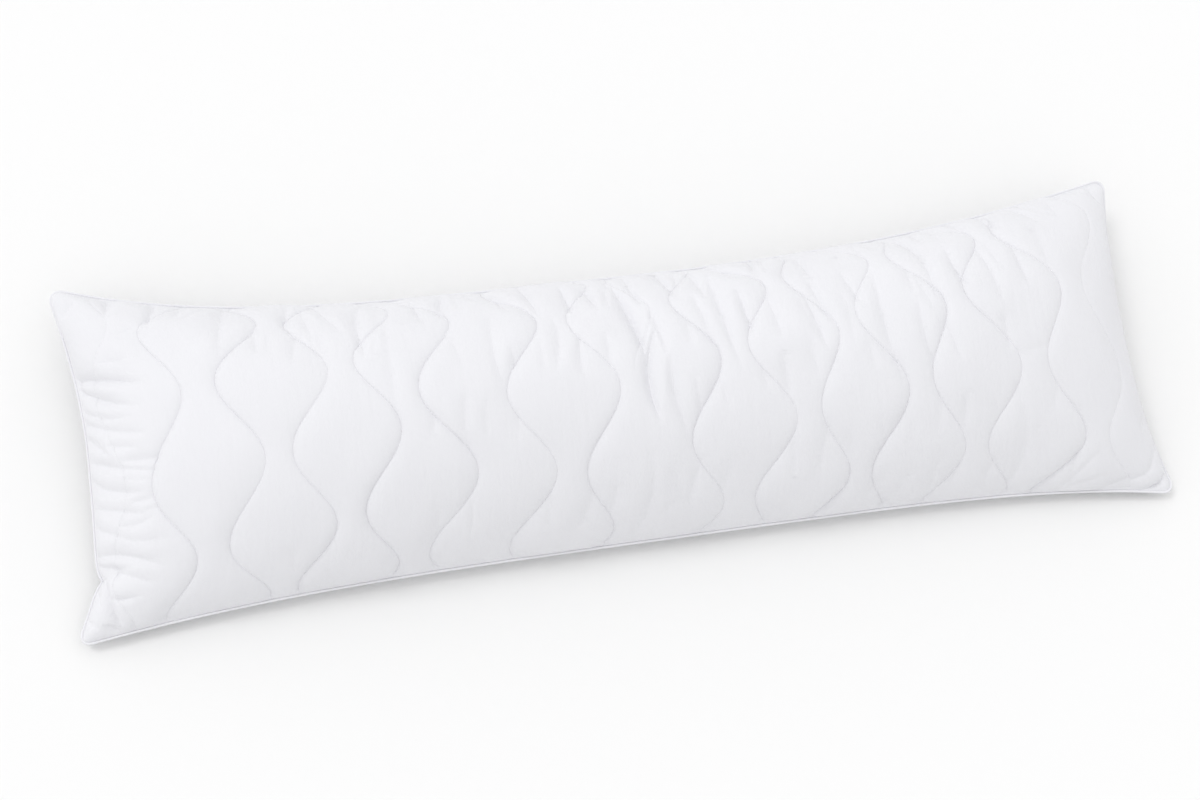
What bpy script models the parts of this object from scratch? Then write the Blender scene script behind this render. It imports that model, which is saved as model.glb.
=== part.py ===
"""Quilted body pillow: one filled cover with wavy stitched channels, and the piping in its seam.

The pillow lies on its back along X. Metres, +Z up, with the origin on the resting surface under
the middle. "Along" is measured in the flat cloth from the left seam, "across" from the far seam.
"""

import bmesh
import bpy
import numpy as np
from mathutils import Matrix

# Driving dimensions, in metres.
COVER_LENGTH = 1.507
COVER_WIDTH = 0.5115
CROWN_HEIGHT = 0.161            # the filled cover above its seam

# Rounding of the corners of the seam, seen from above.
FAR_LEFT_RADIUS = 0.024
NEAR_LEFT_RADIUS = 0.021
RIGHT_RADIUS = 0.018

# Corners of the seam on the filled pillow: x, y and height above the resting surface.
FAR_LEFT = (-0.748, 0.239, 0.058)
FAR_RIGHT = (0.755, 0.235, 0.070)
NEAR_LEFT = (-0.752, -0.237, 0.016)
NEAR_RIGHT = (0.770, -0.229, 0.015)

# Sides of the seam: how far the filling draws the middle in and lifts it, and how suddenly the
# side turns out to its first corner (left or near) and to its second one (right or far).
FAR_SIDE = {"draw": 0.075, "lift": 0.008, "first": 3.9, "second": 2.4}
NEAR_SIDE = {"draw": 0.034, "lift": 0.008, "first": 3.2, "second": 4.2}
LEFT_SIDE = {"draw": 0.0365, "lift": 0.0, "first": 4.2, "second": 1.8}
RIGHT_SIDE = {"draw": 0.032, "lift": 0.0, "first": 1.9, "second": 1.5}

# Where the near left corner turns into a flat ear, the left side has a short tuck: its place
# from near to far (-1 to 1), how deep it goes, and how fast it dies away along and inside.
TUCK = {"place": -0.67, "depth": 0.012, "reach": 0.06, "share": 0.04}

# Crown from end to end and from near to far: half span, flatness of the top, ease of the fall.
LENGTHWISE = {"half_span": 0.7425, "power": 4.6, "fall_first": 0.53, "fall_second": 0.53}
CROSSWISE = {"half_span": 0.192, "power": 2.0, "fall_first": 0.64, "fall_second": 0.68}
PROFILE_STEPS = 800

# Underside: the cloth curves in from the seam and lands on the resting surface. It lands this far
# inside the seam, plus this share of the seam's height, and never further in than the limit.
LANDING_INSET = 0.012
LANDING_SHARE = 1.8
LANDING_LIMIT = 0.085
LANDING_POWER = 1.8             # how steeply the cloth leaves the seam
UNDERSIDE_INSETS = (0.005, 0.012, 0.022, 0.036, 0.058, 0.088)   # rings of the mesh

# Quilting: every stitch line is a wave that runs from the far seam to the near seam.
WAVE_EASE = 0.25                # share of the swing that dies away at the seams
GROOVE_DEPTH = 0.0042
GROOVE_REACH = 0.010            # distance in which the puff beside a stitch line swells up
SEAM_FADE = 0.016               # the relief dies away in this distance before the seam

# Stitch lines, in millimetres: place of the middle, place of a rightward crest across the cover,
# swing to either side, lean from far to near, bow of the middle, and share of the full depth.
LINE_COLUMNS = ("along", "crest", "swing", "lean", "bow", "wave", "share")
STITCH_LINES = (
    (111, 99, 22, -0.02, -44, 196, 0.35),
    (189, 11, 26, -0.03, -34, 199, 1.0),
    (282, 100, 28, -0.06, -32, 199, 1.0),
    (354, 3, 25, -0.06, -18, 197, 1.0),
    (435, 89, 26, -0.06, -17, 198, 1.0),
    (495, 129, 30, 0.01, 4, 225, 1.0),
    (598, 153, 27, -0.02, 4, 217, 1.0),
    (683, 53, 26, -0.02, 7, 215, 1.0),
    (744, 154, 18, -0.03, 10, 196, 0.4),
    (820, 38, 25, -0.02, 2, 210, 1.0),
    (886, 131, 25, 0.01, 24, 207, 1.0),
    (960, 25, 21, 0.04, 25, 205, 1.0),
    (1034, 100, 26, 0.02, 25, 218, 1.0),
    (1105, 13, 21, 0.06, 32, 200, 1.0),
    (1184, 95, 29, 0.04, 32, 208, 1.0),
    (1251, 9, 27, 0.08, 61, 198, 1.0),
    (1387, 111, 24, -0.04, 8, 196, 0.35),
)

# Main folds of the cover, in millimetres and degrees: middle along and across, length, turn from
# the crosswise direction, width, and height of the ridge (a trough is negative).
FOLD_COLUMNS = ("along", "across", "length", "turn", "width", "height")
FOLDS = (
    (748, 168, 200, 6, 13, -6.0),
    (762, 175, 150, 7, 11, 3.5),
    (768, 252, 140, -8, 12, -5.0),
    (785, 290, 110, -2, 11, -3.5),
    (64, 186, 150, 76, 15, -4.5),
    (64, 272, 120, 75, 15, -4.0),
    (72, 390, 150, 72, 15, -4.5),
    (67, 443, 130, 32, 13, -8.0),
    (34, 460, 70, 50, 11, -3.5),
    (1446, 480, 110, -42, 13, -8.0),
    (1468, 40, 110, 30, 14, -5.0),
    (50, 60, 80, -40, 12, -4.0),
)

# Cloth mesh: rows and columns that follow the seam, then even rows, and columns that follow the
# stitch lines.
SEAM_STEPS = (0.0, 0.004, 0.009, 0.016, 0.028)
ROW_COUNT = 28
STITCH_MARGIN = 0.007

# Piping: a cord in a strip of cloth, sewn into the seam all round.
PIPING_RADIUS = 0.00175
SEAM_GAP = 0.0003               # between the piping and the cover
PIPING_BEVEL_RESOLUTION = 1     # six sides

# Finish: colour and roughness of the two cloths, and the angle above which an edge stays sharp.
COVER_FINISH = (0.80, 0.795, 0.815), 0.80
PIPING_FINISH = (0.80, 0.795, 0.815), 0.75
SHARP_ANGLE = np.radians(50)

NORMAL_STEP = 0.0005            # step in the cloth from which a normal is worked out
MM = 0.001


def wave(line, across):
    """Place of a stitch line along the cover, and its slope, at a distance across it."""
    line = dict(zip(LINE_COLUMNS, line))
    off = 2 * across / COVER_WIDTH - 1
    phase = 2 * np.pi * (across - line["crest"] * MM) / (line["wave"] * MM)
    swing = line["swing"] * MM * (1 - WAVE_EASE * off ** 2)
    place = line["along"] * MM + line["lean"] * (across - COVER_WIDTH / 2)
    place = place + line["bow"] * MM * (1 - off ** 2) + swing * np.cos(phase)
    slope = line["lean"] - swing * np.sin(phase) * 2 * np.pi / (line["wave"] * MM)
    return place, slope


def crown(off, shape):
    """Height of the crown as a share of the full one, at an offset of -1 to 1 across its span."""
    fall = np.where(off < 0, shape["fall_first"], shape["fall_second"])
    return np.clip(1 - np.abs(off) ** shape["power"], 0, 1) ** fall


def spread(cloth, shape):
    """Offset across the span that a fraction of the cloth, -1 to 1, reaches over the crown."""
    off = np.linspace(-1, 1, PROFILE_STEPS + 1)
    run = np.diff(off) * shape["half_span"]
    rise = np.diff(crown(off, shape)) * CROWN_HEIGHT
    length = np.concatenate([[0], np.cumsum(np.hypot(run, rise))])
    return np.interp(cloth, 2 * length / length[-1] - 1, off)


def offsets(along, across):
    """Offsets of -1 to 1 from the middle, rightward and farward, for a place in the cloth."""
    return (spread(2 * along / COVER_LENGTH - 1, LENGTHWISE),
            spread(1 - 2 * across / COVER_WIDTH, CROSSWISE))


def round_corner(rightward, farward):
    """The same offsets, pulled back where both are close to -1 or 1, to round a corner."""
    radius = np.where(farward > 0, FAR_LEFT_RADIUS, NEAR_LEFT_RADIUS)
    radius = np.where(rightward > 0, RIGHT_RADIUS, radius)
    half_length = (FAR_RIGHT[0] - FAR_LEFT[0]) / 2
    half_width = (FAR_LEFT[1] - NEAR_LEFT[1]) / 2
    p = np.clip((np.abs(rightward) - 1) * half_length / radius + 1, 0, 1)
    q = np.clip((np.abs(farward) - 1) * half_width / radius + 1, 0, 1)
    back_along = p * (1 - np.sqrt(1 - q ** 2 / 2)) * radius / half_length
    back_across = q * (1 - np.sqrt(1 - p ** 2 / 2)) * radius / half_width
    return rightward - np.sign(rightward) * back_along, farward - np.sign(farward) * back_across


def belly(off, side):
    """Share of a side's draw that it has at an offset of -1 to 1 between its corners."""
    return 1 - np.abs(off) ** np.where(off < 0, side["first"], side["second"])


def seam_surface(rightward, farward):
    """Smooth surface that spans the seam: its edge at offsets of -1 and 1 is the seam itself."""
    rightward, farward = round_corner(rightward, farward)
    right, far = (1 + rightward) / 2, (1 + farward) / 2
    point = [far * ((1 - right) * fl + right * fr) + (1 - far) * ((1 - right) * nl + right * nr)
             for fl, fr, nl, nr in zip(FAR_LEFT, FAR_RIGHT, NEAR_LEFT, NEAR_RIGHT)]
    x, y, z = point
    on_far, on_near = far * belly(rightward, FAR_SIDE), (1 - far) * belly(rightward, NEAR_SIDE)
    on_left, on_right = (1 - right) * belly(farward, LEFT_SIDE), right * belly(farward, RIGHT_SIDE)
    tuck = np.exp(-np.abs(farward - TUCK["place"]) / TUCK["reach"] - right / TUCK["share"])
    x = x + on_left * LEFT_SIDE["draw"] - on_right * RIGHT_SIDE["draw"] + tuck * TUCK["depth"]
    y = y + on_near * NEAR_SIDE["draw"] - on_far * FAR_SIDE["draw"]
    z = z + on_near * NEAR_SIDE["lift"] + on_far * FAR_SIDE["lift"]
    return np.stack([x, y, z], axis=-1)


def filled_cover(along, across):
    """Point of the smooth filled cover for a place in the cloth."""
    rightward, farward = offsets(along, across)
    point = seam_surface(rightward, farward)
    point[..., 2] += CROWN_HEIGHT * crown(rightward, LENGTHWISE) * crown(farward, CROSSWISE)
    return point


def underside(rightward, farward, inset):
    """Point of the underside at offsets from the middle, an inset away from the seam."""
    point = seam_surface(rightward, farward)
    reach = np.minimum(LANDING_INSET + LANDING_SHARE * point[..., 2], LANDING_LIMIT)
    point[..., 2] *= np.clip(1 - inset / reach, 0, 1) ** LANDING_POWER
    return point


def outward(along, across):
    """Unit normal of the filled cover, from short steps in the cloth."""
    right = filled_cover(np.minimum(along + NORMAL_STEP, COVER_LENGTH), across)
    left = filled_cover(np.maximum(along - NORMAL_STEP, 0), across)
    near = filled_cover(along, np.minimum(across + NORMAL_STEP, COVER_WIDTH))
    far = filled_cover(along, np.maximum(across - NORMAL_STEP, 0))
    normal = np.cross(right - left, far - near)
    return normal / np.linalg.norm(normal, axis=-1, keepdims=True)


def relief(along, across):
    """Height of the quilting and the main folds, above or below the smooth filled cover."""
    unstitched = np.ones_like(along)
    for line in STITCH_LINES:
        place, slope = wave(line, across)
        distance = np.abs(along - place) / np.sqrt(1 + slope ** 2)
        unstitched *= 1 - line[-1] * np.exp(-distance / GROOVE_REACH)
    height = -GROOVE_DEPTH * (1 - unstitched)
    for fold in FOLDS:
        fold = dict(zip(FOLD_COLUMNS, fold))
        turn = np.radians(fold["turn"])
        dx, dy = along - fold["along"] * MM, across - fold["across"] * MM
        aside = (dx * np.cos(turn) - dy * np.sin(turn)) / (fold["width"] * MM)
        end = np.clip(2 * (dx * np.sin(turn) + dy * np.cos(turn)) / (fold["length"] * MM), -1, 1)
        height += fold["height"] * MM * np.exp(-aside ** 2) * (1 - end ** 2) ** 2
    to_seam = np.minimum.reduce([along, COVER_LENGTH - along, across, COVER_WIDTH - across])
    fade = np.clip(to_seam / SEAM_FADE, 0, 1)
    return height * fade ** 2 * (3 - 2 * fade)


def row_places():
    """Distances across the cover of the mesh's rows, from the far seam to the near seam."""
    even = np.linspace(SEAM_STEPS[-1], COVER_WIDTH - SEAM_STEPS[-1], ROW_COUNT + 1)
    return [*SEAM_STEPS[:-1], *even, *(COVER_WIDTH - step for step in SEAM_STEPS[-2::-1])]


def column_places(across):
    """Distances along the cover of one row's columns, from the left seam to the right seam."""
    stitches = [wave(line, across)[0] for line in STITCH_LINES]
    first, last = SEAM_STEPS[-1], COVER_LENGTH - SEAM_STEPS[-1]
    places = [*SEAM_STEPS, (first + stitches[0]) / 2, stitches[0] - STITCH_MARGIN]
    for left, right in zip(stitches, stitches[1:]):
        gap = right - left
        margin = min(STITCH_MARGIN, gap / 5)
        places += [left, left + margin, left + gap / 3, right - gap / 3, right - margin]
    places += [stitches[-1], stitches[-1] + STITCH_MARGIN, (stitches[-1] + last) / 2]
    return places + [COVER_LENGTH - step for step in reversed(SEAM_STEPS)]


def principled(name, colour, roughness):
    """Material with a Principled shader of one colour."""
    material = bpy.data.materials.new(name)
    material.use_nodes = True
    shader = material.node_tree.nodes["Principled BSDF"]
    shader.inputs["Base Color"].default_value = (*colour, 1)
    shader.inputs["Roughness"].default_value = roughness
    return material


def make_pillow():
    """Filled pillow: a quilted top grid, an underside that curves in, and the resting flat."""
    rows = np.array(row_places())
    along = np.array([column_places(across) for across in rows]).T
    across = np.broadcast_to(rows, along.shape)
    height = relief(along, across)
    points = filled_cover(along, across) + height[..., None] * outward(along, across)
    seam_offsets = np.stack(offsets(along, across), axis=-1)
    columns, row_total = along.shape

    bm = bmesh.new()
    bmesh.ops.create_grid(bm, x_segments=columns - 1, y_segments=row_total - 1, size=1)
    column_layer = bm.verts.layers.int.new("column")
    row_layer = bm.verts.layers.int.new("row")
    for vert in bm.verts:
        vert[column_layer] = round((1 + vert.co.x) / 2 * (columns - 1))
        vert[row_layer] = round((1 - vert.co.y) / 2 * (row_total - 1))
        vert.co = points[vert[column_layer], vert[row_layer]]

    rim = [edge for edge in bm.edges if edge.is_boundary]
    half_spans = np.array([LENGTHWISE["half_span"], CROSSWISE["half_span"]])
    for inset in UNDERSIDE_INSETS:
        extruded = bmesh.ops.extrude_edge_only(bm, edges=rim)["geom"]
        for vert in [item for item in extruded if isinstance(item, bmesh.types.BMVert)]:
            at_seam = seam_offsets[vert[column_layer], vert[row_layer]]
            vert.co = underside(*(at_seam * (1 - inset / half_spans)), inset)
        rim = [item for item in extruded if isinstance(item, bmesh.types.BMEdge)]
    bmesh.ops.edgeloop_fill(bm, edges=rim)
    bmesh.ops.recalc_face_normals(bm, faces=bm.faces)

    mesh = bpy.data.meshes.new("pillow")
    bm.to_mesh(mesh)
    bm.free()
    mesh.shade_smooth()
    mesh.set_sharp_from_angle(angle=SHARP_ANGLE)
    mesh.materials.append(principled("cover", *COVER_FINISH))
    pillow = bpy.data.objects.new("pillow", mesh)
    bpy.context.collection.objects.link(pillow)
    return pillow


def seam_loop():
    """Points of the seam all round, in the mesh's own columns and rows."""
    rows = np.array(row_places())
    far, near = (np.array(column_places(across)) for across in (0.0, COVER_WIDTH))
    along = [*far, *np.full(len(rows) - 2, COVER_LENGTH), *near[::-1], *np.zeros(len(rows) - 2)]
    across = [*np.zeros(len(far)), *rows[1:-1], *np.full(len(near), COVER_WIDTH), *rows[-2:0:-1]]
    return filled_cover(np.array(along), np.array(across))


def make_piping():
    """Piping: a closed round cord that runs beside the seam, a hair's breadth clear of it."""
    seam = seam_loop()
    after, before = np.roll(seam, -1, axis=0) - seam, seam - np.roll(seam, 1, axis=0)
    sides = [np.stack([-d[:, 1], d[:, 0]], axis=-1) / np.hypot(d[:, 0], d[:, 1])[:, None]
             for d in (after, before)]
    out = sides[0] + sides[1]
    out *= 2 / (out ** 2).sum(axis=-1, keepdims=True)
    route = seam.copy()
    route[:, :2] += out * (PIPING_RADIUS + SEAM_GAP)

    curve = bpy.data.curves.new("piping", "CURVE")
    curve.dimensions = "3D"
    curve.twist_mode = "Z_UP"
    curve.bevel_depth = PIPING_RADIUS
    curve.bevel_resolution = PIPING_BEVEL_RESOLUTION
    spline = curve.splines.new("POLY")
    spline.points.add(len(route) - 1)
    for point, place in zip(spline.points, route):
        point.co = (*place, 1)
    spline.use_cyclic_u = True
    spline.use_smooth = True
    curve.materials.append(principled("piping", *PIPING_FINISH))
    piping = bpy.data.objects.new("piping", curve)
    bpy.context.collection.objects.link(piping)
    return piping


def main():
    for old in list(bpy.data.objects):
        bpy.data.objects.remove(old, do_unlink=True)
    seam = seam_loop()[:, :2]
    middle = (seam.min(axis=0) + seam.max(axis=0)) / 2
    for piece in (make_pillow(), make_piping()):
        piece.data.transform(Matrix.Translation((-middle[0], -middle[1], 0)))


main()
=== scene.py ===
# %% [markdown]
# # A quilted body pillow
# A body pillow is a long bag of two quilted panels, sewn together with piping in the seam, and
# blown full of fibre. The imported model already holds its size, its crown and its main channels.
# It is loaded first and never changed: everything below is made around it, in metres, with the
# long side along X and the resting surface at height zero.

import bmesh
import bpy
import numpy as np
from mathutils import Matrix, Vector


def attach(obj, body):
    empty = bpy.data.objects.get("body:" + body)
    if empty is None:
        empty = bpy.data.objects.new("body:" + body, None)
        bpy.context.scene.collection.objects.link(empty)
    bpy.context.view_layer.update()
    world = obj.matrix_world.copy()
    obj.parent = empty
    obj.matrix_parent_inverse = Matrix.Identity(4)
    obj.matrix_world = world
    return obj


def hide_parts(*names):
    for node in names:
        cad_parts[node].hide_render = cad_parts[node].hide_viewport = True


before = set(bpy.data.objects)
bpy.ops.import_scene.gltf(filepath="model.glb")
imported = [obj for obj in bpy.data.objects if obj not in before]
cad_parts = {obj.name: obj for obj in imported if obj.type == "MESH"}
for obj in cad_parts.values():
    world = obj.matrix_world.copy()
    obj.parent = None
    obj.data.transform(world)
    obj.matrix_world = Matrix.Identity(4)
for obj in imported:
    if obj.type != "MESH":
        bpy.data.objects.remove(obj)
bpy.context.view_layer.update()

MM = 0.001
print("packed pieces:", sorted(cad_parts))

# %% [markdown]
# ## The camera
# The pillow is seen from steeply above and a little to one side, with the camera rolled so that
# it lies aslant. A camera could also be aimed with a Track To constraint, but that has no roll
# of its own. Here its three axes are built by hand, which keeps the roll a plain number.

# %% The camera
LENS, SENSOR = 54, 36                       # millimetres
CAMERA_HEIGHT, CAMERA_SIDE, CAMERA_ROLL = np.radians((71, 31.2, 23))
AIM = Vector((-0.0477, -0.006, 0.066))
DISTANCE = 2.440

level = Vector((np.cos(CAMERA_SIDE), -np.sin(CAMERA_SIDE), 0))
ahead = Vector((np.sin(CAMERA_SIDE) * np.cos(CAMERA_HEIGHT),
                np.cos(CAMERA_SIDE) * np.cos(CAMERA_HEIGHT), -np.sin(CAMERA_HEIGHT)))
axes = Matrix((level, level.cross(ahead), -ahead)).transposed()
camera = bpy.data.objects.new("camera", bpy.data.cameras.new("camera"))
bpy.context.collection.objects.link(camera)
camera.data.lens, camera.data.sensor_width = LENS, SENSOR
turned = axes.to_4x4() @ Matrix.Rotation(CAMERA_ROLL, 4, "Z")
camera.matrix_world = Matrix.Translation(AIM - DISTANCE * ahead) @ turned
bpy.context.scene.camera = camera
print("camera stands at", [round(c, 3) for c in camera.location])

# %% [markdown]
# ## The seam and the crown
# A filled pillow isn't a box with round edges. Its seam stays in one thin line that is drawn in
# between the corners, and the cloth rises from it in a crown that is steep at the seam and flat
# in the middle. It could be sculpted, or simulated from a flat bag. Here one formula gives both,
# a surface that spans the seam and a crown on top of it, so every size stays where it is named.

# %% The sizes of the filled cover
COVER_LENGTH, COVER_WIDTH = 1.507, 0.5115   # the flat cloth between the seams
CROWN_HEIGHT = 0.161                        # the filled cover above its seam
# Rounding of the corners of the seam, seen from above.
FAR_LEFT_RADIUS, NEAR_LEFT_RADIUS, RIGHT_RADIUS = 0.024, 0.021, 0.018
# Corners of the seam on the filled pillow: x, y and height above the resting surface.
FAR_LEFT, FAR_RIGHT = (-0.748, 0.239, 0.058), (0.755, 0.235, 0.070)
NEAR_LEFT, NEAR_RIGHT = (-0.752, -0.237, 0.016), (0.770, -0.229, 0.015)
# Sides of the seam: how far the filling draws the middle in and lifts it, and how suddenly the
# side turns out to its first corner (left or near) and to its second one (right or far).
FAR_SIDE = {"draw": 0.075, "lift": 0.008, "first": 3.9, "second": 2.4}
NEAR_SIDE = {"draw": 0.034, "lift": 0.008, "first": 3.2, "second": 4.2}
LEFT_SIDE = {"draw": 0.0365, "lift": 0.0, "first": 4.2, "second": 1.8}
RIGHT_SIDE = {"draw": 0.032, "lift": 0.0, "first": 1.9, "second": 1.5}
# Where the near left corner turns into a flat ear, the left side has a short tuck: its place
# from near to far (-1 to 1), how deep it goes, and how fast it dies away along and inside.
TUCK = {"place": -0.67, "depth": 0.012, "reach": 0.06, "share": 0.04}
# Crown from end to end and from near to far: half span, flatness of the top, ease of the fall.
LENGTHWISE = {"half_span": 0.7425, "power": 4.6, "fall_first": 0.53, "fall_second": 0.53}
CROSSWISE = {"half_span": 0.192, "power": 2.0, "fall_first": 0.64, "fall_second": 0.68}
PROFILE_STEPS = 800                         # steps that the crown's profile is measured in
NORMAL_STEP = 0.0005                        # step in the cloth from which a normal is taken
print("the flat cover is", COVER_LENGTH, "by", COVER_WIDTH, "m")


# %% The crown
def crown(off, shape):
    """Share of the full crown at an offset of -1 to 1 across its span."""
    fall = np.where(off < 0, shape["fall_first"], shape["fall_second"])
    return np.clip(1 - np.abs(off) ** shape["power"], 0, 1) ** fall


def spread(cloth, shape):
    """Offset across the span that a fraction of the cloth, -1 to 1, reaches over the crown."""
    off = np.linspace(-1, 1, PROFILE_STEPS + 1)
    run, rise = np.diff(off) * shape["half_span"], np.diff(crown(off, shape)) * CROWN_HEIGHT
    length = np.concatenate([[0], np.cumsum(np.hypot(run, rise))])
    return np.interp(cloth, 2 * length / length[-1] - 1, off)


def offsets(along, across):
    """Offsets of -1 to 1 from the middle, rightward and farward, for a place in the cloth."""
    return (spread(2 * along / COVER_LENGTH - 1, LENGTHWISE),
            spread(1 - 2 * across / COVER_WIDTH, CROSSWISE))


print("cloth halfway to a long seam lies", spread(0.5, CROSSWISE).round(2), "of the way out")


# %% The seam
def round_corner(rightward, farward):
    """The same offsets, pulled back where both are close to -1 or 1, to round a corner."""
    radius = np.where(farward > 0, FAR_LEFT_RADIUS, NEAR_LEFT_RADIUS)
    radius = np.where(rightward > 0, RIGHT_RADIUS, radius)
    half_length = (FAR_RIGHT[0] - FAR_LEFT[0]) / 2
    half_width = (FAR_LEFT[1] - NEAR_LEFT[1]) / 2
    p = np.clip((np.abs(rightward) - 1) * half_length / radius + 1, 0, 1)
    q = np.clip((np.abs(farward) - 1) * half_width / radius + 1, 0, 1)
    back_along = p * (1 - np.sqrt(1 - q ** 2 / 2)) * radius / half_length
    back_across = q * (1 - np.sqrt(1 - p ** 2 / 2)) * radius / half_width
    return rightward - np.sign(rightward) * back_along, farward - np.sign(farward) * back_across


def belly(off, side):
    """Share of a side's draw that it has at an offset of -1 to 1 between its corners."""
    return 1 - np.abs(off) ** np.where(off < 0, side["first"], side["second"])


def seam_surface(rightward, farward):
    """Smooth surface that spans the seam: its edge at offsets of -1 and 1 is the seam itself."""
    rightward, farward = round_corner(rightward, farward)
    right, far = (1 + rightward) / 2, (1 + farward) / 2
    x, y, z = [far * ((1 - right) * fl + right * fr) + (1 - far) * ((1 - right) * nl + right * nr)
               for fl, fr, nl, nr in zip(FAR_LEFT, FAR_RIGHT, NEAR_LEFT, NEAR_RIGHT)]
    on_far, on_near = far * belly(rightward, FAR_SIDE), (1 - far) * belly(rightward, NEAR_SIDE)
    on_left, on_right = (1 - right) * belly(farward, LEFT_SIDE), right * belly(farward, RIGHT_SIDE)
    tuck = np.exp(-np.abs(farward - TUCK["place"]) / TUCK["reach"] - right / TUCK["share"])
    x = x + on_left * LEFT_SIDE["draw"] - on_right * RIGHT_SIDE["draw"] + tuck * TUCK["depth"]
    y = y + on_near * NEAR_SIDE["draw"] - on_far * FAR_SIDE["draw"]
    z = z + on_near * NEAR_SIDE["lift"] + on_far * FAR_SIDE["lift"]
    return np.stack([x, y, z], axis=-1)


print("the seam's near right corner:", seam_surface(np.array(1), np.array(-1)).round(3))


# %% The filled cover
def filled_cover(along, across):
    """Point of the smooth filled cover for a place in the cloth."""
    rightward, farward = offsets(along, across)
    point = seam_surface(rightward, farward)
    point[..., 2] += CROWN_HEIGHT * crown(rightward, LENGTHWISE) * crown(farward, CROSSWISE)
    return point


def outward(along, across):
    """Unit normal of the filled cover, from short steps in the cloth."""
    right = filled_cover(np.minimum(along + NORMAL_STEP, COVER_LENGTH), across)
    left = filled_cover(np.maximum(along - NORMAL_STEP, 0), across)
    near = filled_cover(along, np.minimum(across + NORMAL_STEP, COVER_WIDTH))
    far = filled_cover(along, np.maximum(across - NORMAL_STEP, 0))
    normal = np.cross(right - left, far - near)
    return normal / np.linalg.norm(normal, axis=-1, keepdims=True)


top = filled_cover(np.array(COVER_LENGTH / 2), np.array(COVER_WIDTH / 2))
print("the crown's middle lies", round(top[2] / MM), "mm above the resting surface")

# %% [markdown]
# ## The stitched waves
# The panel is quilted with rows of stitching that swing from side to side as they cross it, so
# that neighbouring rows close in to a neck and open out again. They could be curves drawn by
# hand. Here each row is a cosine with its own place, swing and lean, because the filling pushes
# each one a little differently, and because a formula also gives the row's slope.

# %% The stitch lines
ROW_FADE = 0.05                 # a row that ends early fades over this distance
WAVE_EASE = 0.25                # share of the swing that dies away at the seams
NECK_CHECKS = 60                # places across the cover where the gaps between rows are measured
# Millimetres: middle, place of a rightward crest, swing, then lean, bow, length of a wave, share
# of the full depth, and where the row ends. One row sinks into a fold halfway across.
LINE_COLUMNS = ("along", "crest", "swing", "lean", "bow", "wave", "share", "end")
LINE_ROWS = (
    (111, 99, 22, -0.02, -44, 196, 0.35, 512),
    (189, 11, 26, -0.03, -34, 199, 1.0, 512),
    (282, 100, 28, -0.06, -32, 199, 1.0, 512),
    (354, 3, 25, -0.06, -18, 197, 1.0, 512),
    (435, 89, 26, -0.06, -17, 198, 1.0, 512),
    (495, 129, 30, 0.01, 4, 225, 1.0, 512),
    (598, 153, 27, -0.02, 4, 217, 1.0, 512),
    (683, 53, 26, -0.02, 7, 215, 1.0, 512),
    (744, 154, 18, -0.03, 10, 196, 0.6, 210),
    (820, 38, 25, -0.02, 2, 210, 1.0, 512),
    (886, 131, 25, 0.01, 24, 207, 1.0, 512),
    (960, 25, 21, 0.04, 25, 205, 1.0, 512),
    (1034, 100, 26, 0.02, 25, 218, 1.0, 512),
    (1105, 13, 21, 0.06, 32, 200, 1.0, 512),
    (1184, 95, 29, 0.04, 32, 208, 1.0, 512),
    (1251, 9, 27, 0.08, 61, 198, 1.0, 512),
    (1387, 111, 24, -0.04, 8, 196, 0.35, 512),
)
STITCH_LINES = [dict(zip(LINE_COLUMNS, row)) for row in LINE_ROWS]


def wave(line, across):
    """Place of a stitch line along the cover, and its slope, at a distance across it."""
    off = 2 * across / COVER_WIDTH - 1
    phase = 2 * np.pi * (across - line["crest"] * MM) / (line["wave"] * MM)
    swing = line["swing"] * MM * (1 - WAVE_EASE * off ** 2)
    place = line["along"] * MM + line["lean"] * (across - COVER_WIDTH / 2)
    place = place + line["bow"] * MM * (1 - off ** 2) + swing * np.cos(phase)
    slope = line["lean"] - swing * np.sin(phase) * 2 * np.pi / (line["wave"] * MM)
    return place, slope


def held(line, across):
    """Share of the full depth to which the thread of a line holds the cloth down."""
    return line["share"] * np.clip((line["end"] * MM - across) / ROW_FADE + 1, 0, 1)


checks = np.linspace(0, COVER_WIDTH, NECK_CHECKS)
necks = [wave(right, checks)[0] - wave(left, checks)[0]
         for left, right in zip(STITCH_LINES, STITCH_LINES[1:])]
print(len(STITCH_LINES), "stitch lines, closest", round(np.min(necks) / MM), "mm")

# %% [markdown]
# ## Folds and puckers
# Where a seam is shorter than the cloth sewn to it, the cloth gathers in short puckers that run
# in from the seam, and where the filling has shifted, longer soft folds cross the channels.
# A simulation makes such folds too, but puts them where it likes. Here each is a row in a table.
# Two that meet aren't added up: a soft ridge of cloth stays between them.

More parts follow.
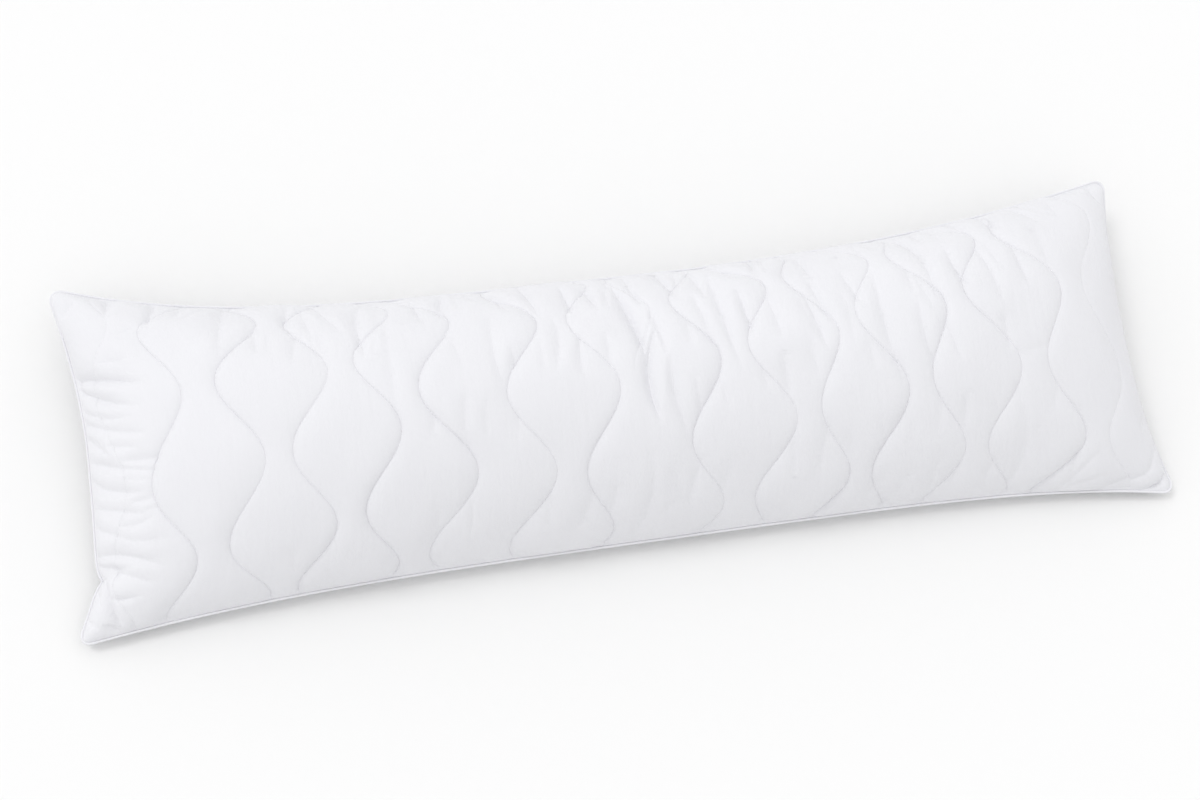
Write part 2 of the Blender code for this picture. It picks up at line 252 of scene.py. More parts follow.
# %% The folds
# Millimetres and degrees: middle of the crease in the flat cloth, length, turn from crosswise,
# sideways bend at its middle, reach of its slopes, and depth.
FOLD_COLUMNS = ("along", "across", "length", "turn", "bend", "reach", "depth")
LEFT_PUCKERS = (
    (55, 182, 180, 83, 3, 8, 11.5), (49, 194, 168, 72, -5, 8, 10.1),
    (55, 213, 132, 76, -9, 6, 5.8), (63, 230, 156, 75, -6, 6, 6.2), (40, 250, 84, 64, 0, 5, 5.4),
    (87, 258, 72, 80, 0, 5, 5.0), (115, 276, 78, 84, 0, 6, 6.2), (54, 271, 108, 75, -1, 7, 8.6),
    (107, 284, 84, 78, -1, 6, 5.0), (105, 293, 72, 79, -2, 5, 3.0), (67, 293, 132, 74, -7, 7, 7.9),
    (111, 318, 60, 88, -1, 5, 4.0), (71, 322, 132, 75, 0, 7, 6.2), (124, 331, 36, 90, 0, 4, 2.5),
    (102, 335, 72, 90, -8, 6, 4.0), (47, 340, 108, 69, 0, 6, 4.5),
    (106, 352, 108, 75, -10, 6, 4.0), (67, 382, 168, 74, 11, 8, 7.9),
    (64, 396, 156, 68, 6, 8, 7.2), (79, 424, 84, 73, -7, 6, 6.0), (97, 159, 54, -86, 0, 6, 4.0),
    (133, 107, 48, -54, 0, 6, 2.5),
)
FAR_PUCKERS = (
    (119, 28, 114, -10, 0, 8, 7.8), (76, 8, 54, 64, 0, 5, 3.6), (169, 44, 126, -13, 7, 7, 7.3),
    (209, 50, 90, -20, 0, 6, 4.3), (228, 60, 78, -38, 0, 5, 2.4), (255, 85, 174, -11, 0, 10, 7.3),
    (185, 166, 54, -6, 0, 5, 1.8), (288, 140, 60, -5, 0, 6, 4.9), (302, 150, 54, -9, 0, 5, 2.4),
    (336, 72, 102, -10, 0, 7, 5.5), (331, 158, 72, -14, 1, 6, 3.6), (355, 105, 144, 1, 0, 7, 3.9),
    (385, 92, 126, 14, -6, 7, 4.3), (364, 156, 47, 5, 0, 5, 3.1), (398, 154, 54, -1, 0, 5, 1.6),
    (422, 126, 144, -6, -9, 8, 7.3), (442, 98, 78, -7, 0, 5, 2.4), (426, 170, 60, -10, 0, 5, 2.1),
    (445, 190, 198, -4, -4, 7, 3.4), (492, 92, 102, 1, 0, 7, 5.2), (523, 84, 90, -10, 0, 6, 7.3),
    (544, 80, 78, -5, 0, 5, 2.4), (561, 72, 66, 9, 0, 5, 3.1), (593, 88, 102, 6, 0, 7, 5.5),
    (632, 92, 126, 3, 0, 8, 8.1), (522, 195, 72, 10, 0, 6, 2.1), (574, 194, 126, -2, -7, 7, 4.5),
    (589, 216, 48, 3, 0, 5, 3.1), (625, 214, 68, 0, 0, 5, 2.4), (643, 196, 96, -7, 6, 9, 6.0),
    (676, 108, 90, 1, 0, 7, 6.7), (705, 112, 78, 4, 0, 7, 7.3), (726, 114, 90, -9, 0, 7, 5.5),
    (676, 220, 78, -5, -4, 7, 5.7), (708, 219, 64, -1, 0, 6, 4.5), (523, 291, 90, -3, -4, 7, 3.9),
    (545, 289, 56, -5, 0, 6, 2.4), (481, 288, 42, -8, 0, 5, 2.4), (583, 303, 42, -8, 0, 5, 2.4),
)
MIDDLE_FOLDS = (
    (753, 101, 102, 20, -14, 7, 5.6), (763, 100, 126, 2, -2, 7, 7.2),
    (749, 168, 198, 6, -3, 10, 15.0), (775, 197, 96, 5, 1, 7, 7.2),
    (769, 252, 144, -8, -15, 10, 14.2), (788, 287, 120, 4, -6, 9, 7.8),
    (810, 290, 76, 0, 0, 6, 2.8), (810, 82, 126, 4, -4, 7, 7.2), (821, 80, 84, -8, 0, 5, 4.2),
    (844, 108, 102, 3, 0, 7, 6.4), (834, 183, 114, 6, 2, 7, 5.0), (812, 207, 52, -1, 0, 5, 2.8),
    (866, 176, 186, 3, -6, 9, 8.6), (892, 178, 100, 4, -2, 7, 7.2), (889, 82, 84, 10, 0, 6, 5.2),
    (927, 58, 126, -7, 0, 7, 7.8), (940, 62, 114, -5, 0, 5, 3.6), (926, 197, 84, 6, 0, 7, 5.6),
    (927, 279, 78, 0, 0, 7, 4.8), (844, 298, 42, 10, 0, 5, 2.8), (899, 286, 42, 9, 0, 5, 2.8),
)
RIGHT_FOLDS = (
    (966, 193, 72, 5, -1, 6, 3.4), (986, 92, 150, 2, 0, 7, 5.6), (991, 172, 114, 11, -4, 8, 6.5),
    (1036, 165, 84, 14, -2, 7, 5.0), (1034, 88, 68, 3, 0, 5, 1.8), (1085, 58, 54, 14, 0, 5, 2.5),
    (1066, 62, 66, -2, 0, 5, 2.5), (978, 209, 108, 9, -1, 8, 6.5), (968, 261, 78, 2, -2, 6, 3.2),
    (1018, 210, 96, 2, 4, 8, 2.9), (1075, 224, 198, 3, -8, 9, 7.0),
    (1127, 118, 192, 9, 12, 9, 8.7), (1151, 62, 78, 7, 0, 6, 4.2), (1113, 171, 64, 1, 0, 6, 4.2),
    (1127, 191, 90, 12, 0, 8, 3.4), (1187, 154, 90, 13, -7, 8, 6.5), (1175, 80, 72, 9, 0, 5, 2.0),
    (1121, 252, 108, 5, -5, 8, 5.0), (1041, 268, 48, 9, 0, 5, 2.3), (1000, 282, 48, 13, 0, 5, 2.0),
    (1153, 267, 66, 13, 1, 6, 3.4), (1221, 151, 42, 13, 0, 5, 2.9), (1210, 46, 78, 10, 0, 6, 4.7),
    (1256, 52, 90, 8, 0, 6, 5.3), (1312, 62, 90, 23, 1, 7, 4.4), (1339, 52, 126, 33, -9, 6, 2.9),
    (1356, 58, 96, 7, 2, 6, 2.9), (1378, 20, 54, 8, 0, 5, 2.5), (1416, 22, 102, 40, 2, 6, 2.9),
    (1242, 153, 96, 12, -4, 7, 2.9), (1274, 168, 84, 8, 0, 8, 6.5),
    (1225, 174, 114, 10, 3, 8, 5.8), (1184, 166, 66, 18, -1, 8, 7.0),
    (1315, 134, 126, 6, 1, 9, 2.9), (1231, 261, 56, 2, 3, 6, 4.2), (1268, 285, 72, -83, 3, 6, 2.0),
)
NEAR_PUCKERS = (
    (662, 430, 72, -13, 0, 7, 2.8), (657, 450, 42, -7, 0, 5, 1.2), (694, 418, 72, -8, 2, 7, 2.8),
    (733, 418, 150, -6, 9, 10, 3.8), (768, 398, 66, 2, 3, 7, 2.1), (800, 410, 90, -14, -4, 7, 2.8),
    (766, 441, 42, -15, 0, 5, 1.5), (835, 401, 66, -3, 4, 7, 2.5), (313, 440, 68, 7, -6, 6, 2.1),
    (349, 442, 66, 8, 0, 6, 2.1), (518, 411, 72, 6, 1, 6, 2.5), (478, 411, 72, 2, 0, 6, 1.9),
    (614, 425, 66, 2, 2, 6, 2.5), (922, 391, 78, 0, 2, 7, 3.0), (965, 386, 90, -14, -3, 7, 2.8),
    (998, 384, 48, 8, 0, 6, 2.1), (1041, 363, 48, 7, 0, 6, 2.1), (1077, 368, 60, -2, 2, 6, 2.1),
    (1118, 360, 64, -12, 1, 6, 2.1), (1112, 441, 90, -6, -1, 7, 2.8),
    (1156, 355, 66, -9, 0, 8, 3.8), (1199, 355, 42, 10, 0, 5, 1.5),
    (1136, 461, 66, -18, 2, 6, 2.5), (1188, 451, 60, -20, -2, 6, 2.1),
    (1071, 457, 84, -13, -2, 7, 2.8), (1043, 443, 52, -3, 0, 6, 1.6),
    (981, 471, 72, -24, 1, 6, 2.2), (1032, 457, 44, -23, 0, 5, 1.5),
    (1237, 362, 90, 7, -1, 7, 2.8), (1287, 350, 56, -22, 0, 6, 1.9),
    (1219, 428, 138, -10, 13, 9, 3.4), (1251, 393, 56, -20, 0, 7, 1.2),
    (1263, 424, 90, -15, -2, 8, 1.6), (1305, 451, 84, -16, 1, 7, 3.4),
    (1314, 470, 126, -36, -5, 7, 3.4), (1319, 488, 90, -62, -4, 5, 2.5),
    (1373, 488, 102, -57, 0, 6, 3.0), (1407, 473, 66, -57, 1, 6, 3.0),
    (1446, 375, 49, -35, 0, 6, 3.1),
)
EAR_FOLDS = (
    (67, 443, 130, 32, 4, 7, 9.0), (31, 416, 60, 46, 0, 6, 3.5), (34, 460, 70, 58, 3, 6, 3.5),
    (82, 486, 60, 45, 3, 6, 5.0), (1436, 440, 100, -36, 6, 8, 4.0), (1446, 484, 90, -42, 6, 8, 8.5),
    (1468, 40, 110, 30, -16, 12, 6.0), (50, 60, 70, -40, 3, 9, 5.0),
)
FOLD_ROWS = LEFT_PUCKERS + FAR_PUCKERS + MIDDLE_FOLDS + RIGHT_FOLDS + NEAR_PUCKERS + EAR_FOLDS
FOLDS = [dict(zip(FOLD_COLUMNS, row)) for row in FOLD_ROWS]
print(len(FOLDS), "folds and puckers, the deepest", max(fold["depth"] for fold in FOLDS), "mm")

# %% The shape of a crease
CREASE_SOFTNESS = 0.0010        # half width of the rounded bottom of a crease
TIP = 0.2                       # share of its reach that a crease still has at its ends
MEETING = 4                     # how sharply the ridge between two creases stands up


def crease(fold, along, across):
    """Depth of one crease in the cloth: its slopes die away to both sides and at its ends."""
    turn, reach = np.radians(fold["turn"]), fold["reach"] * MM
    dx, dy = along - fold["along"] * MM, across - fold["across"] * MM
    end = np.clip(2 * (dx * np.sin(turn) + dy * np.cos(turn)) / (fold["length"] * MM), -1, 1)
    taper = 1 - end ** 2
    aside = dx * np.cos(turn) - dy * np.sin(turn) - fold["bend"] * MM * taper
    slopes = np.exp(-np.hypot(aside, CREASE_SOFTNESS) / (reach * (TIP + (1 - TIP) * taper)))
    return fold["depth"] * MM * slopes * taper


def gathered(along, across):
    """Depth of all the creases: where two lie close, a soft ridge of cloth stays between them."""
    return sum(crease(fold, along, across) ** MEETING for fold in FOLDS) ** (1 / MEETING)


print("the bottom of a crease is rounded over", 2 * CREASE_SOFTNESS / MM, "mm")

# %% [markdown]
# ## The relief
# The thread pulls the cover into the filling along each line, and the cloth swells up beside it.
# A displacement map on a plain pillow could show that. Here two exponentials make the profile in
# the mesh itself: a wide soft puff, and a narrow dent for the thread that stays sharp. Slow
# waves with odd lengths are added, because no filled cloth is perfectly even.

# %% The relief
PUFF_DEPTH, PUFF_REACH = 0.0052, 0.010
DENT_DEPTH, DENT_REACH = 0.0005, 0.0006
SEAM_FADE = 0.008               # the relief dies away in this distance before the seam
# Slow unevenness: length of the wave along and across, a shift of its phase, and its height.
LUMPS = ((0.31, 0.47, 0.3, 0.0012), (0.17, -0.29, 1.9, 0.0008), (0.093, 0.151, 4.0, 0.0005),
         (-0.061, 0.083, 2.2, 0.0003))


def relief(along, across):
    """Height of stitching, folds and lumps, above or below the smooth filled cover."""
    puff, dent = np.ones_like(along), np.zeros_like(along)
    for line in STITCH_LINES:
        place, slope = wave(line, across)
        distance = np.abs(along - place) / np.sqrt(1 + slope ** 2)
        puff *= 1 - held(line, across) * np.exp(-distance / PUFF_REACH)
        dent = np.maximum(dent, held(line, across) * np.exp(-distance / DENT_REACH))
    height = -PUFF_DEPTH * (1 - puff) - DENT_DEPTH * dent
    height -= gathered(along, across)
    for x_length, y_length, shift, swell in LUMPS:
        height += swell * np.sin(2 * np.pi * (along / x_length + across / y_length) + shift) * puff
    to_seam = np.minimum.reduce([along, COVER_LENGTH - along, across, COVER_WIDTH - across])
    fade = np.clip(to_seam / SEAM_FADE, 0, 1)
    return height * fade ** 2 * (3 - 2 * fade)


def quilted(along, across):
    """Point of the finished cover for a place in the cloth."""
    return filled_cover(along, across) + relief(along, across)[..., None] * outward(along, across)


print("a stitch line lies", round((PUFF_DEPTH + DENT_DEPTH) / MM, 1), "mm below the puffs")

# %% [markdown]
# ## The cloth as a mesh
# The top starts as a plain grid. Its columns follow the stitch lines and crowd together beside
# them, so that every line of stitching falls on an edge of the mesh and stays crisp. Then the
# faces over which a crease bends the cloth most are cut into four, three times over. A grid that
# was fine enough for the creases everywhere would need many times as many faces.

# %% Rows and columns
ROWS = 120
CHANNEL_PITCH = 0.0054          # distance between columns, on average
LEAST_COLUMNS = 8               # between two stitch lines
CROWDING = 0.86                 # how much closer the columns lie beside a stitch line
SEAM_CROWDING = 0.35            # how much closer the rows lie beside a seam


def crowd(count, strength):
    """Fractions from 0 to 1 that lie closer together towards both ends."""
    even = np.linspace(0, 1, count + 1)
    return even - strength * np.sin(2 * np.pi * even) / (2 * np.pi)


rows = COVER_WIDTH * crowd(ROWS, SEAM_CROWDING)
edges = [np.zeros_like(rows), *(wave(line, rows)[0] for line in STITCH_LINES)]
edges.append(np.full_like(rows, COVER_LENGTH))
bands = []
for left, right in zip(edges, edges[1:]):
    count = max(LEAST_COLUMNS, round(float(np.mean(right - left)) / CHANNEL_PITCH))
    share = crowd(count, CROWDING)[:-1, None]
    bands.append(left + share * (right - left))
grid_along = np.concatenate([*bands, edges[-1][None]])
grid_across = np.broadcast_to(rows, grid_along.shape)
print("cloth grid of", grid_along.shape[0], "by", grid_along.shape[1])

# %% The middle of the seam
seam = filled_cover(grid_along, grid_across)[..., :2]
middle = (seam.reshape(-1, 2).min(axis=0) + seam.reshape(-1, 2).max(axis=0)) / 2
to_frame = Matrix.Translation((-middle[0], -middle[1], 0))
print("middle of the seam", middle.round(4))

# %% The top of the cover
CLOTH_LAYERS = ("cloth_along", "cloth_across")
OFFSET_LAYERS = ("rightward", "farward")
SHARPENINGS = 3
BEND_LIMIT = 0.00021            # a face is cut where an edge of it bends further than this


def layers_of(bm, names):
    """Layers of a mesh in which each vertex holds a number."""
    return [bm.verts.layers.float[name] for name in names]


def cloth_grid():
    """A grid in which each vertex knows its place in the cloth."""
    columns, row_total = grid_along.shape
    bm = bmesh.new()
    bmesh.ops.create_grid(bm, x_segments=columns - 1, y_segments=row_total - 1, size=1)
    along, across = [bm.verts.layers.float.new(name) for name in CLOTH_LAYERS]
    for vert in bm.verts:
        i = round((1 + vert.co.x) / 2 * (columns - 1))
        j = round((1 - vert.co.y) / 2 * (row_total - 1))
        vert[along], vert[across] = grid_along[i, j], grid_across[i, j]
    bm.verts.index_update()
    return bm


def cloth_places(bm):
    """Places in the cloth of all the points of a mesh, along and across, as two arrays."""
    layers = layers_of(bm, CLOTH_LAYERS)
    return np.array([[vert[layer] for layer in layers] for vert in bm.verts]).T


def sharpen(bm):
    """Cut the faces over which the cloth bends most into four, so that creases get more points."""
    along, across = cloth_places(bm)
    ends = np.array([[vert.index for vert in edge.verts] for edge in bm.edges])
    halfway = gathered(along[ends].mean(axis=1), across[ends].mean(axis=1))
    bend = np.abs(halfway - gathered(along, across)[ends].mean(axis=1))
    sharp = {face for edge, rise in zip(bm.edges, bend) if rise > BEND_LIMIT
             for face in edge.link_faces}
    cut = [edge for edge in bm.edges if not sharp.isdisjoint(edge.link_faces)]
    bmesh.ops.subdivide_edges(bm, edges=cut, cuts=1, use_grid_fill=True)
    bm.verts.index_update()
    return len(sharp)


def fill_out(bm):
    """Move each vertex to its place on the finished cover, and note its offsets."""
    places = cloth_places(bm)
    points = quilted(*places)
    seam_offsets = np.stack(offsets(*places), axis=-1)
    rightward, farward = [bm.verts.layers.float.new(name) for name in OFFSET_LAYERS]
    for vert, point, at_seam in zip(bm.verts, points, seam_offsets):
        vert.co = point
        vert[rightward], vert[farward] = at_seam


cover = cloth_grid()
print("faces cut:", [sharpen(cover) for _ in range(SHARPENINGS)])
fill_out(cover)

# %% [markdown]
# ## The underside
# The back panel is as full as the top one, but the weight of the filling presses it flat on the
# surface. It could be a mirrored copy of the top, cut off flat and merged with it at the seam.
# Here it is extruded from the rim of the top in rings that follow its curve, down and in, until
# they lie flat, and one face closes it. The seam then needs no merging.

# %% The underside
# The cloth lands this far inside the seam, plus this share of the seam's height, in this curve.
LANDING_INSET, LANDING_SHARE, LANDING_POWER = 0.012, 1.8, 1.8
LANDING_LIMIT = 0.085           # the furthest inside the seam at which it lands
RING_COUNT, RING_REACH = 10, 0.088
RING_CROWDING = 1.8             # how much closer the rings lie near the seam
ring_insets = RING_REACH * (np.arange(1, RING_COUNT + 1) / RING_COUNT) ** RING_CROWDING


def underside(rightward, farward, inset):
    """Point of the underside at offsets from the middle, an inset away from the seam."""
    point = seam_surface(rightward, farward)
    reach = np.minimum(LANDING_INSET + LANDING_SHARE * point[..., 2], LANDING_LIMIT)
    point[..., 2] *= np.clip(1 - inset / reach, 0, 1) ** LANDING_POWER
    return point


def add_underside(bm):
    """Extrude the rim of the top in rings, down and in, and close the last ring with a face."""
    cloth, offset = layers_of(bm, CLOTH_LAYERS), layers_of(bm, OFFSET_LAYERS)
    half_spans = np.array([LENGTHWISE["half_span"], CROSSWISE["half_span"]])
    rim = [edge for edge in bm.edges if edge.is_boundary]
    for last, inset in zip([0.0, *ring_insets], ring_insets):
        extruded = bmesh.ops.extrude_edge_only(bm, edges=rim)["geom"]
        for vert in [item for item in extruded if isinstance(item, bmesh.types.BMVert)]:
            at_seam = np.array([vert[layer] for layer in offset])
            vert.co = underside(*(at_seam * (1 - inset / half_spans)), inset)
            for layer, size in zip(cloth, (COVER_LENGTH, COVER_WIDTH)):
                vert[layer] += (vert[layer] / size - 0.5) * 2 * (inset - last)
        rim = [item for item in extruded if isinstance(item, bmesh.types.BMEdge)]
    bmesh.ops.edgeloop_fill(bm, edges=rim)


add_underside(cover)
print("rings of the underside, mm inside the seam:", (ring_insets / MM).round())


# %% The finished cover
def add_cloth_map(bm):
    """UV map that holds the place in the cloth, in metres, for the weave."""
    along, across = layers_of(bm, CLOTH_LAYERS)
    uv = bm.loops.layers.uv.new("cloth")
    for face in bm.faces:
        for loop in face.loops:
            loop[uv].uv = loop.vert[along], loop.vert[across]


def as_piece(bm, name):
    """Make a smooth-shaded object of a mesh that is being built, at its place in the frame."""
    for face in bm.faces:
        face.smooth = True
    bmesh.ops.transform(bm, matrix=to_frame, verts=bm.verts)
    mesh = bpy.data.meshes.new(name)
    bm.to_mesh(mesh)
    bm.free()
    piece = bpy.data.objects.new(name, mesh)
    bpy.context.collection.objects.link(piece)
    return piece


add_cloth_map(cover)
bmesh.ops.recalc_face_normals(cover, faces=cover.faces)
quilted_cover = as_piece(cover, "quilted_cover")
print("quilted cover:", sum(len(f.vertices) - 2 for f in quilted_cover.data.polygons), "triangles")

# %% [markdown]
# ## The thread
# Every stitch is one short rounded bead of thread that lies in the dent of its line. A bump map
# could fake the stitches, but beads catch the light from every side. Each bead is a small ball,
# drawn out between the two ends of its stitch.

# %% The thread
STITCH_PITCH, STITCH_LENGTH = 0.0034, 0.0027
THREAD_RADIUS = 0.00024
PATH_STEPS = 3000               # steps in which the length of a row is measured


def stitches(line):
    """Both ends and the outward normal of every stitch of one line."""
    across = np.linspace(0, min(COVER_WIDTH, line["end"] * MM), PATH_STEPS)
    place = wave(line, across)[0]
    length = np.concatenate([[0], np.cumsum(np.hypot(np.diff(place), np.diff(across)))])
    starts = np.arange(STITCH_PITCH, length[-1] - 2 * STITCH_PITCH, STITCH_PITCH)
    ends = []
    for reached in (starts, starts + STITCH_LENGTH):
        ends.append([np.interp(reached, length, path) for path in (place, across)])
    return quilted(*ends[0]), quilted(*ends[1]), outward(*ends[0])


def make_thread():
    """All the stitches as one mesh of beads."""
    bm = bmesh.new()
    for line in STITCH_LINES:
        for start, end, normal in zip(*stitches(line)):
            run = (end - start) / 2
            side = np.cross(normal, run)
            side *= THREAD_RADIUS / np.linalg.norm(side)
            bead = Matrix(np.column_stack([run, side, normal * THREAD_RADIUS])).to_4x4()
            centre = (start + end) / 2 + normal * THREAD_RADIUS / 2
            bmesh.ops.create_icosphere(bm, subdivisions=1, radius=1,
                                       matrix=Matrix.Translation(centre) @ bead)
    return as_piece(bm, "stitches")


thread = make_thread()
print("thread:", len(thread.data.polygons), "faces")

# %% [markdown]
# ## The piping
# Piping is a thin cord wrapped in a strip of cloth and caught in the seam. A ring of vertices
# could be swept along the seam step by step, but a curve with a round bevel gives it at once. It
# is turned into a mesh, so that its place is in its points.

# %% The piping
PIPING_RADIUS = 0.0019
SEAM_TUCK = 0.0008              # how deep the cord sinks into the seam
PIPING_ROUNDNESS = 3            # resolution of the curve's bevel


def seam_route():
    """Middle line of the piping: the seam all round, moved outward by the cord's radius."""
    cloth = np.stack([grid_along, grid_across], axis=-1)
    loop = np.concatenate([cloth[:, 0], cloth[-1, 1:-1], cloth[::-1, -1], cloth[0, -2:0:-1]])
    route = filled_cover(loop[:, 0], loop[:, 1])
    after, before = np.roll(route, -1, axis=0) - route, route - np.roll(route, 1, axis=0)
    sides = [np.stack([-d[:, 1], d[:, 0]], -1) / np.hypot(d[:, 0], d[:, 1])[:, None]
             for d in (after, before)]
    out = sides[0] + sides[1]
    out *= 2 / (out ** 2).sum(axis=-1, keepdims=True)
    route[:, :2] += out * (PIPING_RADIUS - SEAM_TUCK)
    return route


def piping_curve():
    """The cord as a closed curve with a round bevel."""
    curve = bpy.data.curves.new("piping_cord", "CURVE")
    curve.dimensions, curve.twist_mode = "3D", "Z_UP"
    curve.bevel_depth, curve.bevel_resolution = PIPING_RADIUS, PIPING_ROUNDNESS
    spline = curve.splines.new("POLY")
    route = seam_route()
    spline.points.add(len(route) - 1)
    for point, place in zip(spline.points, route):
        point.co = (*place, 1)
    spline.use_cyclic_u = spline.use_smooth = True
    return curve


def make_piping():
    """The cord as a mesh, at its place in the frame."""
    source = bpy.data.objects.new("piping_source", piping_curve())
    bpy.context.collection.objects.link(source)
    bpy.context.view_layer.update()
    finished = source.evaluated_get(bpy.context.evaluated_depsgraph_get())
    mesh = bpy.data.meshes.new_from_object(finished)
    bpy.data.objects.remove(source, do_unlink=True)
    mesh.transform(to_frame)
    mesh.materials.clear()
    piece = bpy.data.objects.new("piping_cord", mesh)
    bpy.context.collection.objects.link(piece)
    return piece


piping_cord = make_piping()
print("piping:", len(piping_cord.data.polygons), "faces")

# %% [markdown]
# ## Shader maths
# In a material, every sum is a node. The nodes could be placed and linked one by one, which
# hides the sum. Here a small class wraps an output socket, so that shader maths is written as a
# plain expression, and a second class adds every other node with one method.


# %% A small language for shaders
class Socket:
    """An output of a node that can be added and multiplied."""

    def __init__(self, nodes, socket):
        self.nodes, self.socket = nodes, socket

    def maths(self, operation, *values):
        return self.nodes.add("ShaderNodeMath", {"operation": operation}, dict(enumerate(values)))

    def __add__(self, other):
        return self.maths("ADD", self, other)

    def __radd__(self, other):
        return self.maths("ADD", other, self)

    def __mul__(self, other):
        return self.maths("MULTIPLY", self, other)

    def __rmul__(self, other):
        return self.maths("MULTIPLY", other, self)

    def sine(self):
        return self.maths("SINE", self)


class Nodes:
    """The nodes of a material or of the world."""

    def __init__(self, owner):
        owner.use_nodes = True
        self.tree = owner.node_tree

    def feed(self, node, values):
        """Give inputs of a node, by name or by number, a plain value or a link."""
        for key, value in values.items():
            if isinstance(value, Socket):
                self.tree.links.new(value.socket, node.inputs[key])
            else:
                node.inputs[key].default_value = value

    def add(self, kind, settings, values, output=0):
        """Add a node, set it up, feed its inputs and return one of its outputs."""
        node = self.tree.nodes.new(kind)
        for key, value in settings.items():
            setattr(node, key, value)
        self.feed(node, values)
        return Socket(self, node.outputs[output])


def plain_finish(name, values):
    """A material and its nodes, with plain values on its Principled shader."""
    material = bpy.data.materials.new(name)
    nodes = Nodes(material)
    nodes.feed(nodes.tree.nodes["Principled BSDF"], values)
    return material, nodes


print("shader helpers:", Socket.__name__, "and", Nodes.__name__)

# %% [markdown]
# ## The cover's cloth
# Brushed microfibre is a close plain weave with a short nap. Up close the threads just show, and
# from a step away it is an even, matt white with a faint sheen where it turns away. A picture of
# such cloth could be laid over it, but would repeat. Here noise gives the nap and the mottling,
# and two sine waves across the cloth give the weave.

# %% The cloth of the cover
WHITE, SHADED_WHITE = (0.797, 0.797, 0.820), (0.767, 0.767, 0.79)
MOTTLE = {"Scale": 14, "Detail": 3}         # patterns in a metre, and how fine they get
NAP = {"Scale": 900, "Detail": 2}
MOTTLE_SHARE = 0.7                          # of the change of colour, and the rest is the nap's
ROUGHNESS, NAP_ROUGHNESS = 0.78, 0.14
THREAD_PITCH = 0.0005                       # from thread to thread in the weave
NAP_HEIGHT, WEAVE_HEIGHT = 0.6, 0.4
STREAKS = (110, 12, 1)                      # soft creases in a metre, along and across
STREAK_NOISE = {"Scale": 1, "Detail": 2}
CREASE_BUMP = {"Strength": 0.6, "Distance": 0.0012}
WEAVE_BUMP = {"Strength": 0.35, "Distance": 0.00015}
SHEEN = {"Sheen Weight": 0.25, "Sheen Roughness": 0.5}


def cloth_colour(cloth, mottle, nap):
    """Colour that goes from white to a slightly shaded white with two noises."""
    share = mottle * MOTTLE_SHARE + nap * (1 - MOTTLE_SHARE)
    return cloth.add("ShaderNodeMix", {"data_type": "RGBA"},
                     {0: share, 6: (*WHITE, 1), 7: (*SHADED_WHITE, 1)}, output=2)


def cloth_normal(cloth, nap):
    """Soft creases from stretched noise, and on top of them the nap and the weave."""
    uv = cloth.add("ShaderNodeUVMap", {"uv_map": "cloth"}, {})
    stretched = cloth.add("ShaderNodeMapping", {}, {"Vector": uv, "Scale": STREAKS})
    streaks = cloth.add("ShaderNodeTexNoise", {}, {"Vector": stretched, **STREAK_NOISE})
    creased = cloth.add("ShaderNodeBump", {}, {**CREASE_BUMP, "Height": streaks})
    warp, weft = [cloth.add("ShaderNodeSeparateXYZ", {}, {0: uv}, output=axis)
                  * (2 * np.pi / THREAD_PITCH) for axis in "XY"]
    height = nap * NAP_HEIGHT + warp.sine() * weft.sine() * WEAVE_HEIGHT
    return cloth.add("ShaderNodeBump", {}, {**WEAVE_BUMP, "Height": height, "Normal": creased})


def microfibre():
    """Brushed white cloth for the cover."""
    material, cloth = plain_finish("cover_cloth", SHEEN)
    place = cloth.add("ShaderNodeTexCoord", {}, {}, output="Object")
    mottle = cloth.add("ShaderNodeTexNoise", {}, {"Vector": place, **MOTTLE})
    nap = cloth.add("ShaderNodeTexNoise", {}, {"Vector": place, **NAP})
    cloth.feed(cloth.tree.nodes["Principled BSDF"], {
        "Base Color": cloth_colour(cloth, mottle, nap),
        "Roughness": ROUGHNESS + nap * NAP_ROUGHNESS,
        "Normal": cloth_normal(cloth, nap)})
    return material


quilted_cover.data.materials.append(microfibre())
print("nodes of the cover's cloth:", len(quilted_cover.data.materials[0].node_tree.nodes))

# %% [markdown]
# ## Piping and thread
# The piping is covered in the same cloth, but so narrow that no pattern shows on it. The polyester
# thread is a little smoother, and painted brighter than the cloth: a painted highlight that lifts
# the shade in the dent around it. Both could share the cover's material, but its pattern needs the
# cover's UV map, so each has a plain finish of its own.

# %% Piping and thread
PIPING_LOOK = {"Base Color": (*WHITE, 1), "Roughness": 0.8}
# The thread's white is its own, but the step above the cloth's white is painted light against the
# shade in the dent.
THREAD_LOOK_PAINTED_LIGHTER = {"Base Color": (0.86, 0.86, 0.88, 1), "Roughness": 0.5, "Sheen Weight": 0.3}
piping_cloth = plain_finish("piping_cloth", PIPING_LOOK)[0]
thread_gloss_painted_lighter = plain_finish("thread", THREAD_LOOK_PAINTED_LIGHTER)[0]
piping_cord.data.materials.append(piping_cloth)
thread.data.materials.append(thread_gloss_painted_lighter)
print("finishes:", piping_cloth.name, "and", thread_gloss_painted_lighter.name)

# %% [markdown]
# ## The floor
# The pillow lies on a pale floor, which catches the shadow close under its near edge. It could
# be a curved backdrop, but a plane that is large enough fills the picture as well.

# %% The floor
FLOOR_SIZE = 90.0
FLOOR_LOOK = {"Base Color": (0.85, 0.85, 0.85, 1), "Roughness": 0.9}

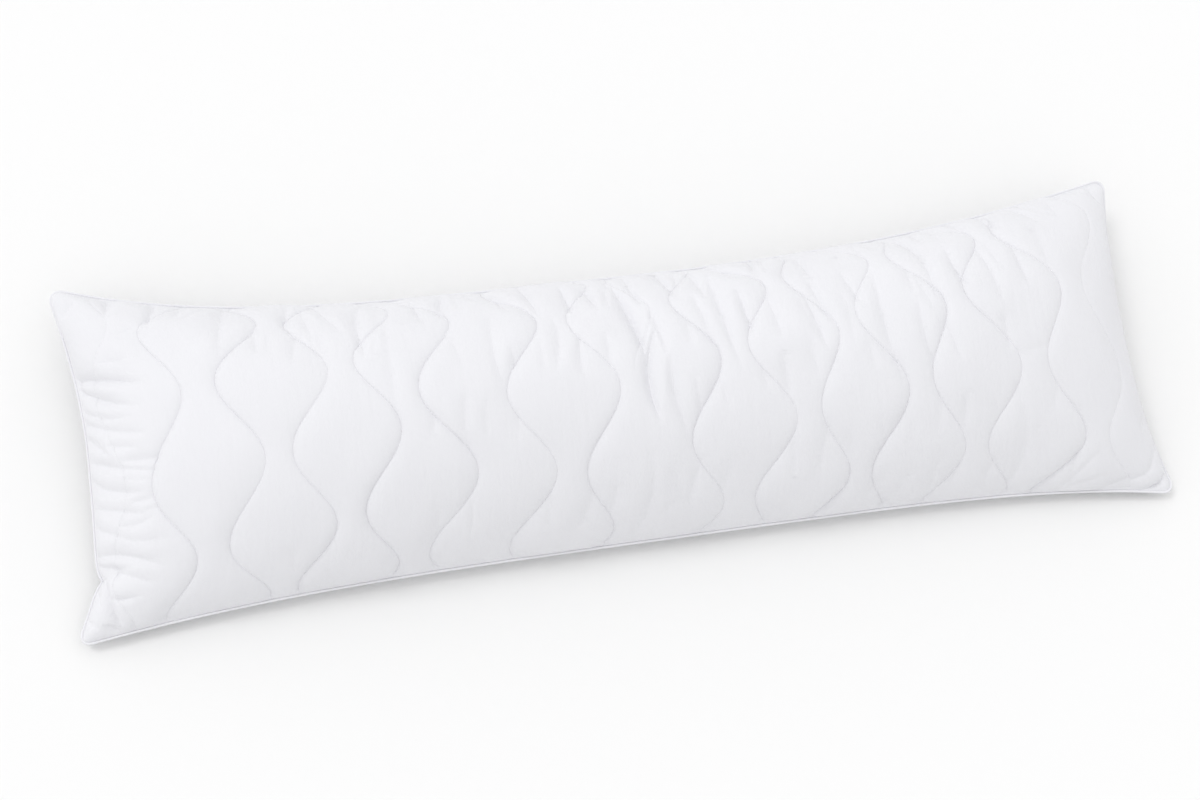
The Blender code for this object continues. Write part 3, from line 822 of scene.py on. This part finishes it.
bm = bmesh.new()
bmesh.ops.create_grid(bm, x_segments=1, y_segments=1, size=FLOOR_SIZE / 2)
floor_mesh = bpy.data.meshes.new("floor")
bm.to_mesh(floor_mesh)
bm.free()
floor = bpy.data.objects.new("floor", floor_mesh)
bpy.context.collection.objects.link(floor)
floor_mesh.materials.append(plain_finish("floor_paint", FLOOR_LOOK)[0])
print("the floor is", FLOOR_SIZE, "m wide")

# %% [markdown]
# ## The light
# One broad light from the far left, and a sky that is a little brighter on that side, give the
# soft shading of a studio. Area lamps could do it too, but they fade with distance, and a lamp
# like the sun with a wide angle doesn't.

# %% The light
KEY_DIRECTION = Vector((-0.62, 0.45, 1.1)).normalized()
KEY_STRENGTH, KEY_SPREAD = 0.47, 20         # the spread is in degrees
SKY_LEVEL, SKY_SLANT = 0.975, 0.125         # even part, and how much brighter the lit side is
CONTRAST = 0.75                             # gamma of the finished picture

key = bpy.data.lights.new("key", "SUN")
key.energy, key.angle = KEY_STRENGTH, np.radians(KEY_SPREAD)
lamp = bpy.data.objects.new("key", key)
lamp.rotation_euler = KEY_DIRECTION.to_track_quat("Z", "Y").to_euler()
bpy.context.collection.objects.link(lamp)

world = bpy.data.worlds.new("studio")
sky = Nodes(world)
look = sky.add("ShaderNodeTexCoord", {}, {}, output="Generated")
towards = sky.add("ShaderNodeVectorMath", {"operation": "DOT_PRODUCT"},
                  {0: look, 1: KEY_DIRECTION}, output="Value")
sky.feed(sky.tree.nodes["Background"],
         {"Color": (1, 1, 1, 1), "Strength": SKY_LEVEL + SKY_SLANT * towards})
bpy.context.scene.world = world
bpy.context.scene.view_settings.view_transform = "Standard"
bpy.context.scene.view_settings.gamma = CONTRAST
print("light from", [round(c, 2) for c in KEY_DIRECTION])

# %% [markdown]
# ## Fitting the pieces to the frame
# Each piece rides on the imported body, and the imported nodes that the cover and the piping stand
# for are hidden.

# %% Fitting the pieces to the frame
for piece, node, slot in ((quilted_cover, "pillow", "cover"), (piping_cord, "piping", "piping")):
    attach(piece, "root")
    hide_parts(node)
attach(thread, "root")
